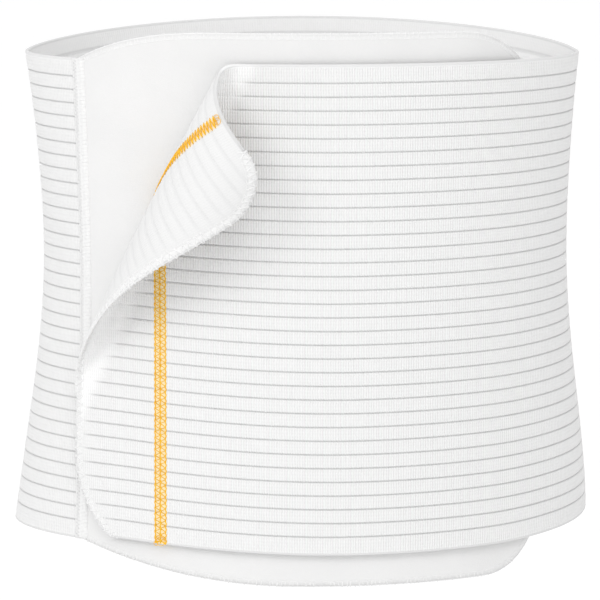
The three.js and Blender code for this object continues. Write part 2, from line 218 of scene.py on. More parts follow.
def band_point(along, height, out):
    """Point of the band: along is the distance from its free end, out the distance from its middle."""
    rise = height - FOLD_FOOT
    beyond = rise * math.sin(FOLD_ANGLE) - along * math.cos(FOLD_ANGLE)
    if beyond <= 0:
        return closed_place(along, height, out)[0]
    up_fold = along * math.sin(FOLD_ANGLE) + rise * math.cos(FOLD_ANGLE)
    roll = min(beyond / FOLD_RADIUS, FOLD_TURN)
    from_centre = up_fold - FLAP_CENTRE
    curl_radius = 1 / (CURL_BEND + CURL_BEND_CHANGE * from_centre)
    turn = roll + (beyond - roll * FOLD_RADIUS) / curl_radius
    rolled = FOLD_RADIUS * math.sin(roll) + curl_radius * (math.sin(turn) - math.sin(roll))
    raised = FOLD_RADIUS * (1 - math.cos(roll)) + curl_radius * (math.cos(roll) - math.cos(turn))
    across = rolled - out * math.sin(turn)
    off = raised + out * math.cos(turn)
    foot_along = up_fold * math.sin(FOLD_ANGLE)
    foot_height = FOLD_FOOT + up_fold * math.cos(FOLD_ANGLE)
    foot, facing = closed_place(foot_along, foot_height, 0)
    share = (1 - math.cos(roll)) / 2
    aim = FLAP_AZIMUTH + FLAP_TWIST * from_centre
    tilt = FLAP_TILT + FLAP_TILT_CHANGE * from_centre
    local = Vector((-across * math.cos(FOLD_ANGLE), -off, across * math.sin(FOLD_ANGLE)))
    local.rotate(Matrix.Rotation(tilt * share, 3, "X"))
    local.rotate(Matrix.Rotation(facing + (aim - facing) * share, 3, "Z"))
    return foot + local


# Finishes
CLOTH_SPECULAR = 0.2


class Finish:
    """A material's nodes, made one formula at a time."""

    def __init__(self, name, roughness, sheen, sheen_roughness):
        self.material = bpy.data.materials.new(name)
        self.material.use_nodes = True
        self.nodes = self.material.node_tree.nodes
        self.links = self.material.node_tree.links
        self.shader = self.nodes["Principled BSDF"]
        self.shader.inputs["Roughness"].default_value = roughness
        self.shader.inputs["Specular IOR Level"].default_value = CLOTH_SPECULAR
        self.shader.inputs["Sheen Weight"].default_value = sheen
        self.shader.inputs["Sheen Roughness"].default_value = sheen_roughness

    def feed(self, socket, value):
        if isinstance(value, bpy.types.NodeSocket):
            self.links.new(value, socket)
        else:
            socket.default_value = value

    def math(self, operation, *values):
        node = self.nodes.new("ShaderNodeMath")
        node.operation = operation
        for socket, value in zip(node.inputs, values):
            self.feed(socket, value)
        return node.outputs[0]

    def rise(self, value, low, high, start=0.0, end=1.0):
        node = self.nodes.new("ShaderNodeMapRange")
        node.interpolation_type = "SMOOTHSTEP"
        for socket, part in zip(node.inputs, (value, low, high, start, end)):
            self.feed(socket, part)
        return node.outputs[0]

    def flat_place(self):
        """Distances along and up the flat cloth in millimetres, from the piece's own UV map."""
        node = self.nodes.new("ShaderNodeUVMap")
        node.uv_map = "flat_cloth"
        split = self.nodes.new("ShaderNodeSeparateXYZ")
        self.links.new(node.outputs[0], split.inputs[0])
        along, up = split.outputs[0], split.outputs[1]
        return self.math("DIVIDE", along, MM), self.math("DIVIDE", up, MM)

    def object_place(self):
        return self.nodes.new("ShaderNodeTexCoord").outputs["Object"]

    def noise(self, scale, detail=2.0):
        node = self.nodes.new("ShaderNodeTexNoise")
        self.links.new(self.object_place(), node.inputs["Vector"])
        node.inputs["Scale"].default_value = scale
        node.inputs["Detail"].default_value = detail
        return node.outputs["Fac"]

    def mix(self, share, first, second):
        node = self.nodes.new("ShaderNodeMix")
        node.data_type = "RGBA"
        self.feed(node.inputs[0], share)
        self.feed(node.inputs[6], first)
        self.feed(node.inputs[7], second)
        return node.outputs[2]

    def colour(self, value):
        self.links.new(value, self.shader.inputs["Base Color"])

    def relief(self, height, distance, strength):
        node = self.nodes.new("ShaderNodeBump")
        node.inputs["Distance"].default_value = distance
        node.inputs["Strength"].default_value = strength
        self.links.new(height, node.inputs["Height"])
        self.links.new(node.outputs[0], self.shader.inputs["Normal"])


def grey(level, warmth=0.0):
    return (level + warmth, level, level - warmth, 1.0)


# Elastic cloth: pitches, fades in millimetres, shares and grey levels
WEAVE_PITCH = 1.28
WEFT_PITCH = GROOVE_PITCH / 4
WEFT_SHARE = 0.25
WEAVE_GAP = (0.4, -1.3)
WEAVE_WANDER = 1.4
GROOVE_CORE = 0.35
GROOVE_FADE = (5, 11)
GROOVE_END_SHARE = 0.35
# Painted light: the face is lightened over the fold's roll, its groove lines too, to lift the shade beside
# the flap
ROLL_FADE = (-11, -2)
ROLL_END = (9, 14)
ROLL_PAINTED_LIGHT_LEVEL = 0.95
# Painted shade: the back face is darker near the free end, where it shows as the flap's lit inner face
END_PAINTED_SHADE_FADE = (130, 230)
SELVEDGE_BLEND = 0.5
# Painted shade darkens the rounded top and bottom selvedges, which catch more light
TOP_PAINTED_SHADE = 0.28
TOP_PAINTED_SHADE_HALF = 0.4
BOTTOM_PAINTED_SHADE = 0.35
BOTTOM_PAINTED_SHADE_WIDTH = 0.8
# The weave's gaps and the selvedges' painted shade share one grey
GAP_AND_PAINTED_SHADE_LEVEL = 0.4
TINT_EDGE = (3.4, 2.8)
TINT_TOP = (BAND_HEIGHT - 3.5, BAND_HEIGHT - 5)
MARKER_TINT = (0.96, 0.79, 0.46, 1.0)
FUZZ_SHARE = 0.6


def elastic_finish(name, level, end_painted_shade_level, groove_painted_shade_level, groove_width, weave_depth, roll_painted_light_share, marker_share):
    finish = Finish(name, roughness=0.85, sheen=0.15, sheen_roughness=0.5)
    along, height = finish.flat_place()
    inside = finish.math(
        "MULTIPLY",
        finish.math("GREATER_THAN", height, FIRST_GROOVE - GROOVE_PITCH / 2),
        finish.math("LESS_THAN", height, BAND_HEIGHT - FIRST_GROOVE + GROOVE_PITCH / 2),
    )
    from_groove = finish.math("PINGPONG", finish.math("SUBTRACT", height, FIRST_GROOVE), GROOVE_PITCH / 2)
    # Painted shade in the grooves' recesses: a dark line along each groove
    line = finish.math("MULTIPLY", finish.rise(from_groove, groove_width, groove_width * GROOVE_CORE), inside)
    up_roll = finish.math("MULTIPLY", finish.math("SUBTRACT", height, FOLD_FOOT), math.sin(FOLD_ANGLE))
    beyond = finish.math("SUBTRACT", up_roll, finish.math("MULTIPLY", along, math.cos(FOLD_ANGLE)))
    # Painted light over the roll beside the fold
    rolled = finish.math(
        "MULTIPLY",
        finish.rise(beyond, *ROLL_FADE, 0.0, roll_painted_light_share),
        finish.rise(beyond, *ROLL_END, 1.0, 0.0),
    )
    painted_groove_shade = finish.math("MULTIPLY", line, finish.rise(along, *GROOVE_FADE, GROOVE_END_SHARE, 1.0))
    selvedge_line = BAND_HEIGHT - TOP_SELVEDGE
    woven = finish.math(
        "MULTIPLY",
        finish.rise(height, BOTTOM_SELVEDGE, BOTTOM_SELVEDGE + SELVEDGE_BLEND),
        finish.rise(height, selvedge_line, selvedge_line - SELVEDGE_BLEND),
    )
    uneven = finish.math("MULTIPLY", finish.math("SUBTRACT", finish.noise(scale=900), 0.5), WEAVE_WANDER)
    phase = finish.math("MULTIPLY", along, math.tau / WEAVE_PITCH)
    warp = finish.math("SINE", finish.math("ADD", phase, uneven))
    from_rib = finish.math("SUBTRACT", height, FIRST_GROOVE)
    weft = finish.math("COSINE", finish.math("MULTIPLY", from_rib, math.tau / WEFT_PITCH))
    weave = finish.math("SUBTRACT", warp, finish.math("MULTIPLY", weft, WEFT_SHARE))
    between = finish.math("MULTIPLY", finish.rise(weave, *WEAVE_GAP), woven)
    patchy = finish.rise(finish.noise(scale=160, detail=3.0), low=0.3, high=0.7, start=0.65, end=1.25)
    shade = finish.math("MULTIPLY", finish.math("MULTIPLY", between, patchy), weave_depth)
    # Painted shade on the flap's inner face, fading in from the free end
    flat_cloth = finish.mix(finish.rise(along, *END_PAINTED_SHADE_FADE), grey(end_painted_shade_level, 0.001), grey(level, 0.001))
    cloth = finish.mix(rolled, flat_cloth, grey(ROLL_PAINTED_LIGHT_LEVEL))
    # Painted shade along both selvedges, added to the weave's gaps
    top = finish.rise(
        height,
        low=selvedge_line - TOP_PAINTED_SHADE_HALF,
        high=selvedge_line + TOP_PAINTED_SHADE_HALF,
        end=TOP_PAINTED_SHADE,
    )
    bottom_shade = finish.rise(height, BOTTOM_SELVEDGE + BOTTOM_PAINTED_SHADE_WIDTH, BOTTOM_SELVEDGE, end=BOTTOM_PAINTED_SHADE)
    gaps_and_edge_shade = finish.math("ADD", shade, finish.math("ADD", top, bottom_shade))
    shaded = finish.mix(gaps_and_edge_shade, cloth, grey(GAP_AND_PAINTED_SHADE_LEVEL))
    # Painted shade in the grooves, lightened over the roll by painted light
    ribbed = finish.mix(painted_groove_shade, shaded, finish.mix(rolled, grey(groove_painted_shade_level), grey(ROLL_PAINTED_LIGHT_LEVEL)))
    from_marker = finish.math("ABSOLUTE", finish.math("SUBTRACT", along, MARKER_ALONG))
    tinted = finish.math(
        "MULTIPLY",
        finish.rise(from_marker, *TINT_EDGE, end=marker_share),
        finish.rise(height, *TINT_TOP),
    )
    finish.colour(finish.mix(tinted, ribbed, MARKER_TINT))
    fuzz = finish.math("MULTIPLY", finish.noise(scale=2600, detail=4.0), FUZZ_SHARE)
    threads = finish.math("ADD", finish.math("MULTIPLY", weave, woven), fuzz)
    finish.relief(threads, distance=0.0002, strength=4 * weave_depth)
    return finish.material


def velour_finish():
    finish = Finish("smooth velour", roughness=0.95, sheen=0.35, sheen_roughness=0.4)
    strokes = finish.noise(scale=30, detail=3.0)
    specks = finish.math("MULTIPLY", finish.noise(scale=1400, detail=3.0), 0.5)
    brushed = finish.rise(finish.math("ADD", strokes, specks), low=0.45, high=1.05)
    finish.colour(finish.mix(brushed, grey(0.745, 0.0015), grey(0.77, 0.002)))
    tufts = finish.math("MULTIPLY", finish.noise(scale=500), 0.5)
    pile = finish.math("ADD", finish.noise(scale=2200, detail=4.0), tufts)
    finish.relief(pile, distance=0.00025, strength=0.45)
    return finish.material


def thread_finish(name, dark, light):
    finish = Finish(name, roughness=0.7, sheen=0.25, sheen_roughness=0.45)
    fine = finish.math("MULTIPLY", finish.noise(scale=2600, detail=2.0), FUZZ_SHARE)
    fibres = finish.math("ADD", finish.noise(scale=700, detail=3.0), fine)
    finish.colour(finish.mix(finish.rise(fibres, low=0.5, high=1.1), dark, light))
    finish.relief(fibres, distance=0.0002, strength=0.5)
    return finish.material


# Both faces get painted shade in their grooves and along the selvedges; the face also painted light over the
# fold's roll, the back painted shade on the flap's inner face
ELASTIC_FACE = elastic_finish(
    "ribbed elastic face",
    level=0.835,
    end_painted_shade_level=0.835,
    groove_painted_shade_level=0.66,
    groove_width=0.6,
    weave_depth=0.16,
    roll_painted_light_share=0.9,
    marker_share=0.9,
)
ELASTIC_BACK = elastic_finish(
    "ribbed elastic back",
    level=0.84,
    end_painted_shade_level=0.755,
    groove_painted_shade_level=0.715,
    groove_width=1.6,
    weave_depth=0.05,
    roll_painted_light_share=0.0,
    marker_share=0.75,
)
VELOUR = velour_finish()
WHITE_THREAD = thread_finish("white overlock thread", grey(0.775), grey(0.815, 0.002))
GOLDEN_THREAD = thread_finish("golden marker thread", (0.86, 0.43, 0.006, 1), (0.95, 0.58, 0.025, 1))


# Making pieces
def add_piece(name, mesh, node, finishes):
    piece = bpy.data.objects.new(name, mesh)
    SCENE.collection.objects.link(piece)
    for finish in finishes:
        mesh.materials.append(finish)
    mesh.polygons.foreach_set("use_smooth", [True] * len(mesh.polygons))
    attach(piece, "root")
    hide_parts(node)
    return piece


FLAT_THICKNESS = 1


def sheet_mesh(name, columns, rows, flat, place):
    """Cloth with two faces: flat lays a grid's corner out in millimetres and place puts it on the body."""
    bm = bmesh.new()
    bmesh.ops.create_grid(bm, x_segments=columns, y_segments=rows, size=0.5)
    for vert in bm.verts:
        column = round((vert.co.x + 0.5) * columns)
        row = round((vert.co.y + 0.5) * rows)
        vert.co = (*flat(column, row), 0)
    bmesh.ops.solidify(bm, geom=bm.faces[:], thickness=FLAT_THICKNESS)
    middle = max(vert.co.z for vert in bm.verts) - FLAT_THICKNESS / 2
    layer = bm.loops.layers.uv.new("flat_cloth")
    for face in bm.faces:
        face.material_index = 0 if any(vert.co.z > middle for vert in face.verts) else 1
        for loop in face.loops:
            loop[layer].uv = loop.vert.co.xy * MM
    for vert in bm.verts:
        side = 1 if vert.co.z > middle else -1
        vert.co = place(vert.co.x, vert.co.y, side) * MM
    mesh = bpy.data.meshes.new(name)
    bm.to_mesh(mesh)
    bm.free()
    return mesh


def thread_mesh(name, strands, bm=None):
    """Round threads: each strand is a path in millimetres and a radius."""
    bm = bm or bmesh.new()
    for radius in sorted({radius for path, radius in strands}):
        curve = bpy.data.curves.new(name, "CURVE")
        curve.dimensions = "3D"
        curve.bevel_depth = radius * MM
        curve.bevel_resolution = 1
        curve.use_fill_caps = True
        for path, own_radius in strands:
            if own_radius != radius:
                continue
            spline = curve.splines.new("POLY")
            spline.points.add(len(path) - 1)
            for point, place in zip(spline.points, path):
                point.co = (*(place * MM), 1)
        holder = bpy.data.objects.new(name, curve)
        tubes = holder.to_mesh()
        bm.from_mesh(tubes)
        holder.to_mesh_clear()
        bpy.data.objects.remove(holder)
        bpy.data.curves.remove(curve)
    mesh = bpy.data.meshes.new(name)
    bm.to_mesh(mesh)
    bm.free()
    return mesh


# Ribbed elastic band: shape of its selvedges, rib rows of the mesh and the pressed rim
EDGE_ROUNDING = 0.7
EDGE_HALF_SHARE = 0.4
SELVEDGE_CROWN = 0.05
SELVEDGE_STEP = 0.6
EDGE_ROWS = [0, 0.25, 0.6, 1.0, TOP_SELVEDGE, TOP_SELVEDGE + SELVEDGE_STEP]
RIB_ROWS = [-1.1, -0.5, 0, 0.5, 1.1, GROOVE_PITCH / 2]
RIM_PRESS = 0.45
RIM_BLEND = 1.5
MARKER_CLEAR = (2.5, 4.5)
ROLL_FLATTENING = 0.8


def from_free_end(along, height):
    """Distance from the free end's rounded outline."""
    if height > BAND_HEIGHT - TOP_CORNER and along < TOP_CORNER:
        return TOP_CORNER - math.hypot(TOP_CORNER - along, height - BAND_HEIGHT + TOP_CORNER)
    if height > CORNER_HEIGHT or along > CORNER_LENGTH:
        return along
    if math.atan2(CORNER_HEIGHT - height, BOTTOM_CORNER - along) < TURN:
        return BOTTOM_CORNER - math.hypot(BOTTOM_CORNER - along, CORNER_HEIGHT - height)
    return BOTTOM_TIP - math.hypot(CORNER_LENGTH - along, BOTTOM_TIP - height)


def cloth_start(height):
    """Distance from the free end where the cloth starts, a little inside the outline."""
    if height < BOTTOM_TIP - (BOTTOM_TIP - CLOTH_INSET) * math.sin(TURN):
        centre, radius, rise = CORNER_LENGTH, BOTTOM_TIP, BOTTOM_TIP - height
    elif height < BAND_HEIGHT / 2:
        centre, radius, rise = BOTTOM_CORNER, BOTTOM_CORNER, CORNER_HEIGHT - height
    else:
        centre, radius, rise = TOP_CORNER, TOP_CORNER, height - BAND_HEIGHT + TOP_CORNER
    return centre - math.sqrt(max((radius - CLOTH_INSET) ** 2 - max(rise, 0) ** 2, 0))


def rib_relief(height, side, groove_share):
    """Height of one face of the band over its middle, at a distance up the strip."""
    low = height < BAND_HEIGHT / 2
    from_edge = height if low else BAND_HEIGHT - height
    if from_edge < FIRST_GROOVE - GROOVE_PITCH / 2:
        selvedge = BOTTOM_SELVEDGE if low else TOP_SELVEDGE
        rounding = math.sqrt(max(1 - (1 - min(from_edge / EDGE_ROUNDING, 1)) ** 2, 0))
        crowned = (BAND_HALF + SELVEDGE_CROWN) * (EDGE_HALF_SHARE + (1 - EDGE_HALF_SHARE) * rounding)
        return crowned - SELVEDGE_CROWN * smoothstep(from_edge, selvedge, selvedge + SELVEDGE_STEP)
    from_groove = abs((height - FIRST_GROOVE + GROOVE_PITCH / 2) % GROOVE_PITCH - GROOVE_PITCH / 2)
    from_middle = 1 - from_groove / (GROOVE_PITCH / 2)
    depth, half = GROOVE_DEPTH, GROOVE_HALF_WIDTH
    if side < 0:
        depth, half = BACK_GROOVE_DEPTH, BACK_GROOVE_HALF_WIDTH
    dip = max(1 - from_groove / half, 0)
    return BAND_HALF + RIB_CROWN * (1 - from_middle**2) - depth * dip * groove_share


def band_rows():
    ribs = [FIRST_GROOVE + i * GROOVE_PITCH + place for i in range(GROOVE_COUNT) for place in RIB_ROWS]
    top = [BAND_HEIGHT - place for place in reversed(EDGE_ROWS)]
    return EDGE_ROWS + [FIRST_GROOVE - GROOVE_PITCH / 2] + ribs + top


def loop_columns():
    """Distances from the free end at equal angles round the body, from the panel's side to the seam."""
    start = ellipse_angle((RAMP_START - END_ARC) / WAIST_HALF_WIDTH)
    end = ellipse_angle(SEAM_ARC / WAIST_HALF_WIDTH) + math.tau
    places = []
    for angle in steps(LOOP_COLUMNS, start, end):
        step = min(angle, math.tau - angle) / math.pi * ARC_STEPS
        low = min(int(step), ARC_STEPS - 1)
        length = WAIST_HALF_WIDTH * (UNIT_ARC[low] + (UNIT_ARC[low + 1] - UNIT_ARC[low]) * (step - low))
        places.append(END_ARC + (LOOP - length if angle > math.pi else length))
    return places


BAND_ROWS = band_rows()
BAND_COLUMNS = steps(FRONT_COLUMNS, FLAP_REACH, RAMP_START)[:-1] + loop_columns()


def band_flat(column, row):
    height = BAND_ROWS[row]
    if column >= FLAP_COLUMNS:
        return BAND_COLUMNS[column - FLAP_COLUMNS], height
    start = cloth_start(height)
    return start + (FLAP_REACH - start) * column / FLAP_COLUMNS, height


def band_place(along, height, side):
    from_end = from_free_end(along, height)
    pressed = 1 - RIM_PRESS + RIM_PRESS * smoothstep(from_end, BAND_RIM - RIM_BLEND, BAND_RIM + RIM_BLEND)
    from_marker = abs(along - MARKER_ALONG)
    beyond = (height - FOLD_FOOT) * math.sin(FOLD_ANGLE) - along * math.cos(FOLD_ANGLE)
    rolled = smoothstep(beyond, *ROLL_FADE) * (1 - smoothstep(beyond, *ROLL_END))
    groove_share = smoothstep(from_end, *GROOVE_FADE) * smoothstep(from_marker, *MARKER_CLEAR)
    relief = rib_relief(height, side, groove_share * (1 - ROLL_FLATTENING * rolled))
    return band_point(along, height, side * relief * pressed)


band_mesh = sheet_mesh(
    "ribbed_band", FLAP_COLUMNS + len(BAND_COLUMNS) - 1, len(BAND_ROWS) - 1, band_flat, band_place
)
ribbed_band = add_piece("ribbed_band", band_mesh, "elastic_band", [ELASTIC_FACE, ELASTIC_BACK])


# Velour panel
def panel_edge(share, level, overhang, length, power, corner):
    """Point of the panel's long edge: share runs from the seam to the end of the rounded corner."""
    column = share * (PANEL_COLUMNS + PANEL_CORNER_COLUMNS)
    if column <= PANEL_COLUMNS:
        arc = SEAM_ARC + (PANEL_END - corner - SEAM_ARC) * column / PANEL_COLUMNS
        short = max(1 - (arc - SEAM_ARC) / length, 0)
        return Vector((arc, level + overhang * (1 - short**power)))
    angle = math.pi / 2 * (1 - (column - PANEL_COLUMNS) / PANEL_CORNER_COLUMNS)
    side = math.copysign(1, overhang)
    return Vector((
        PANEL_END - corner + corner * math.cos(angle),
        level + overhang - side * corner * (1 - math.sin(angle)),
    ))


def panel_top(share):
    return panel_edge(share, BAND_HEIGHT, TOP_OVERHANG, TOP_RISE_LENGTH, TOP_RISE_POWER, TOP_END_CORNER)


def panel_bottom(share):
    return panel_edge(share, 0, -BOTTOM_OVERHANG, BOTTOM_RISE_LENGTH, BOTTOM_RISE_POWER, BOTTOM_END_CORNER)


def panel_flat(column, row):
    share = column / (PANEL_COLUMNS + PANEL_CORNER_COLUMNS)
    low, high = panel_bottom(share), panel_top(share)
    inset = CLOTH_INSET / (high.y - low.y)
    point = low.lerp(high, inset + (1 - 2 * inset) * row / PANEL_ROWS)
    point.x = min(point.x, PANEL_END - CLOTH_INSET)
    return point


def panel_place(arc, height, side):
    return wall_point(arc, height, side * PANEL_HALF)


panel_mesh = sheet_mesh(
    "velour_panel", PANEL_COLUMNS + PANEL_CORNER_COLUMNS, PANEL_ROWS, panel_flat, panel_place
)
velour_panel = add_piece("velour_panel", panel_mesh, "closure_panel", [VELOUR, VELOUR])


# Overlocked rims
BAND_RIM_HALF = BAND_HALF * 0.6
PANEL_RIM_HALF = PANEL_HALF * 0.75
OVERLOCK_PITCH = 2.1
OVERLOCK_RADIUS = 0.42
REACH_RANGE = (0.85, 1.04)
START_RANGE = (-0.3, 0.3)
SLANT_RANGE = (0.6, 1.4)
SINK_RANGE = (0.88, 1.08)
EDGE_SHARE = 0.4
NEEDLE_RADIUS = 0.26
NEEDLE_LIFT = 1.25
NEEDLE_DIP = 0.9
NEEDLE_CYCLE = 4
RIM_STEP = 1.0


def outline_walk(outline, pitch):
    """Points at an even pitch along a flat outline, each with its normal to the left and its tangent."""
    lengths = [0.0]
    for near, far in zip(outline, outline[1:]):
        lengths.append(lengths[-1] + (far - near).length)
    count = round(lengths[-1] / pitch)
    walk = []
    for length in steps(count, 0, lengths[-1]):
        i = min(max(bisect.bisect_right(lengths, length) - 1, 0), len(outline) - 2)
        near, far = outline[i], outline[i + 1]
        tangent = (far - near).normalized()
        walk.append((near + tangent * (length - lengths[i]), Vector((-tangent.y, tangent.x)), tangent))
    return walk


# Rounded rim over the cloth's edge: distance in from the edge as a share of the rim's width, and height as
# a share of the cloth's half-thickness
RIM_SECTION = [
    (1.1, 0.6),
    (0.95, 1.0),
    (0.7, 1.15),
    (0.4, 1.15),
    (0.15, 0.95),
    (0.0, 0.4),
    (0.0, -0.4),
    (0.15, -0.95),
    (0.4, -1.15),
    (0.7, -1.15),
    (0.95, -1.0),
    (1.1, -0.6),
]


def rim_base(outline, rim, half, place):
    """Rounded rim that the overlock threads lie on."""
    walk = outline_walk(outline, RIM_STEP)
    bm = bmesh.new()
    bmesh.ops.create_grid(bm, x_segments=len(walk) - 1, y_segments=len(RIM_SECTION) - 1, size=0.5)
    for vert in bm.verts:
        point, inward, tangent = walk[round((vert.co.x + 0.5) * (len(walk) - 1))]
        share, lift = RIM_SECTION[round((vert.co.y + 0.5) * (len(RIM_SECTION) - 1))]
        flat = point + inward * (share * rim)
        vert.co = place(flat.x, flat.y, lift * half) * MM
    bmesh.ops.recalc_face_normals(bm, faces=bm.faces[:])
    return bm


def overlock_strands(outline, rim, half, place, lean, edge_loop, sunk):
    """Threads over the rim: lean in millimetres, reach past the edge and sunk height as shares of it."""
    strands = []
    for number, (point, inward, tangent) in enumerate(outline_walk(outline, OVERLOCK_PITCH)):
        reach = rim * DICE.uniform(*REACH_RANGE)
        start = DICE.uniform(*START_RANGE)
        slant = lean * DICE.uniform(*SLANT_RANGE) * (1 if number % 2 else -1)
        sink = sunk * DICE.uniform(*SINK_RANGE)
        loop = edge_loop * DICE.uniform(0, 1)
        path = []
        for share, lift in RIM_SECTION:
            shift = start + slant * (share - 0.5)
            past_edge = loop * max(1 - share / EDGE_SHARE, 0)
            flat = point + inward * ((share - past_edge) * reach) + tangent * shift
            path.append(place(flat.x, flat.y, lift * half * sink))
        strands.append((path, OVERLOCK_RADIUS))
    for side in (1, -1):
        path = []
        for i, (point, inward, tangent) in enumerate(outline_walk(outline, OVERLOCK_PITCH / 2)):
            flat = point + inward * rim
            lift = NEEDLE_LIFT if i % NEEDLE_CYCLE else NEEDLE_DIP
            path.append(place(flat.x, flat.y, side * half * lift))
        strands.append((path, NEEDLE_RADIUS))
    return strands


def corner_arc(centre_x, centre_y, radius, start, end, count=24):
    places = [math.radians(angle) for angle in steps(count, start, end)]
    return [Vector((centre_x + radius * math.cos(a), centre_y + radius * math.sin(a))) for a in places]


band_outline = corner_arc(TOP_CORNER, BAND_HEIGHT - TOP_CORNER, TOP_CORNER, 90, 180)
band_outline += corner_arc(BOTTOM_CORNER, CORNER_HEIGHT, BOTTOM_CORNER, 180, 180 + BOTTOM_TURN)
band_outline += corner_arc(CORNER_LENGTH, BOTTOM_TIP, BOTTOM_TIP, 180 + BOTTOM_TURN, 270)[1:]
panel_shares = steps(PANEL_COLUMNS + PANEL_CORNER_COLUMNS, 0, 1)
panel_outline = [panel_bottom(share) for share in panel_shares]
panel_outline += [panel_top(share) for share in reversed(panel_shares)]

band_end_base = rim_base(band_outline, BAND_RIM, BAND_RIM_HALF, band_point)
band_end_strands = overlock_strands(
    band_outline, BAND_RIM, BAND_RIM_HALF, band_point, lean=2.4, edge_loop=0.06, sunk=1.0
)
band_end_threads = add_piece(
    "band_end_overlock_threads",
    thread_mesh("band_end_overlock_threads", band_end_strands, band_end_base),
    "band_end_overlock",
    [WHITE_THREAD],
)
panel_rim_base = rim_base(panel_outline, PANEL_RIM, PANEL_RIM_HALF, wall_point)
panel_rim_strands = overlock_strands(
    panel_outline, PANEL_RIM, PANEL_RIM_HALF, wall_point, lean=0.3, edge_loop=-0.16, sunk=0.75
)
panel_rim_threads = add_piece(
    "panel_overlock_threads",
    thread_mesh("panel_overlock_threads", panel_rim_strands, panel_rim_base),
    "panel_edge_overlock",
    [WHITE_THREAD],
)

# Joining seam: distance across the seam and height of the strip's face, from the zigzag side to the bead
SEAM_PROFILE = [
    (-4.2, 0.95),
    (-3.4, 1.25),
    (-2.0, 1.35),
    (-0.8, 1.3),
    (0.2, 1.32),
    (1.0, 1.45),
    (1.8, 1.68),
    (2.6, 1.72),
    (3.4, 1.5),
    (4.0, 1.2),
    (4.5, 0.92),
]
SEAM_BASE = 0.9
SEAM_ROWS = 125
SEAM_PITCH = 1.9
SEAM_MARGIN = 0.5
ZIGZAG_PLACES = (-3.2, -1.0)
ZIGZAG_HEIGHT = 1.36
ZIGZAG_RADIUS = 0.24
INNER_PLACES = (-2.2, 2.2)
INNER_HEIGHT = -1.15
INNER_RADIUS = 0.3
RUNG_PLACES = (0.4, 1.0, 1.7, 2.4, 3.1, 3.7, 4.2)
RUNG_MIDDLE = 2
RUNG_LEAN = 0.175
RUNG_WOBBLE = 0.1
RUNG_SINK = 0.12
RUNG_RADIUS = 0.32


def seam_flat(column, row):
    return SEAM_PROFILE[column][0], BAND_HEIGHT * row / SEAM_ROWS


def seam_height(across):
    for (near, low), (far, high) in zip(SEAM_PROFILE, SEAM_PROFILE[1:]):
        if across <= far:
            return low + (high - low) * (across - near) / (far - near)
    return SEAM_PROFILE[-1][1]


def seam_place(across, height, side):
    return wall_point(SEAM_ARC + across, height, seam_height(across) if side > 0 else SEAM_BASE)


def seam_strands():
    strands = []
    zigzag = []
    inner = []
    for i in range(int(BAND_HEIGHT / SEAM_PITCH * 2)):
        height = SEAM_MARGIN + i * SEAM_PITCH / 2
        if height > BAND_HEIGHT - SEAM_MARGIN:
            break
        zigzag.append(wall_point(SEAM_ARC + ZIGZAG_PLACES[i % 2], height, ZIGZAG_HEIGHT))
        inner.append(wall_point(SEAM_ARC + INNER_PLACES[i % 2], height, INNER_HEIGHT))
        if i % 2 == 0:
            rung = []
            for across in RUNG_PLACES:
                lean = RUNG_LEAN * (across - RUNG_MIDDLE) + DICE.uniform(-RUNG_WOBBLE, RUNG_WOBBLE)
                rung.append(wall_point(SEAM_ARC + across, height + lean, seam_height(across) - RUNG_SINK))
            strands.append((rung, RUNG_RADIUS))
    strands.append((zigzag, ZIGZAG_RADIUS))
    strands.append((inner, INNER_RADIUS))
    return strands


seam_bm = bmesh.new()
seam_strip = sheet_mesh("joining_seam_strip", len(SEAM_PROFILE) - 1, SEAM_ROWS, seam_flat, seam_place)
seam_bm.from_mesh(seam_strip)
for face in seam_bm.faces:
    face.material_index = 0
bpy.data.meshes.remove(seam_strip)
seam_threads = add_piece(
    "joining_seam_stitches",
    thread_mesh("joining_seam_stitches", seam_strands(), seam_bm),
    "joining_seam",
    [WHITE_THREAD],
)

# Marker stitch: three chains and the crossing threads between them outside, dense satin inside
MARKER_PITCH = 3.0
CHAIN_PLACES = (-2.9, 0.0, 2.9)
CHAIN_RADIUS = 0.34
CHAIN_SWING = 0.25
CHAIN_RETURN = 0.4
CHAIN_LOW = 1.0
CHAIN_HIGH = 1.1
CROSS_RADIUS = 0.42
CROSS_HEIGHT = 0.98
CROSS_WOBBLE = 0.2
TAIL_RADIUS = 0.14
TAIL_STEPS = 16
SATIN_RADIUS = 0.28
SATIN_PITCH = 2.4
SATIN_HALF_WIDTH = 3.3
SATIN_SPREAD = (0.93, 1.05)
SATIN_RISE = (0.12, 0.38)
SATIN_EDGE = -1.15
SATIN_CROWN = -1.5
MARKER_LOW = 0.5
MARKER_HIGH = BAND_HEIGHT - 2
SATIN_HIGH = BAND_HEIGHT - 4.5


def marker_point(across, height, out):
    return band_point(MARKER_ALONG + across, height, out)


def tail_ring(centre, height, radius, out):
    angles = steps(TAIL_STEPS, 0, math.tau)
    return [marker_point(centre + radius * math.cos(a), height + radius * math.sin(a), out) for a in angles]


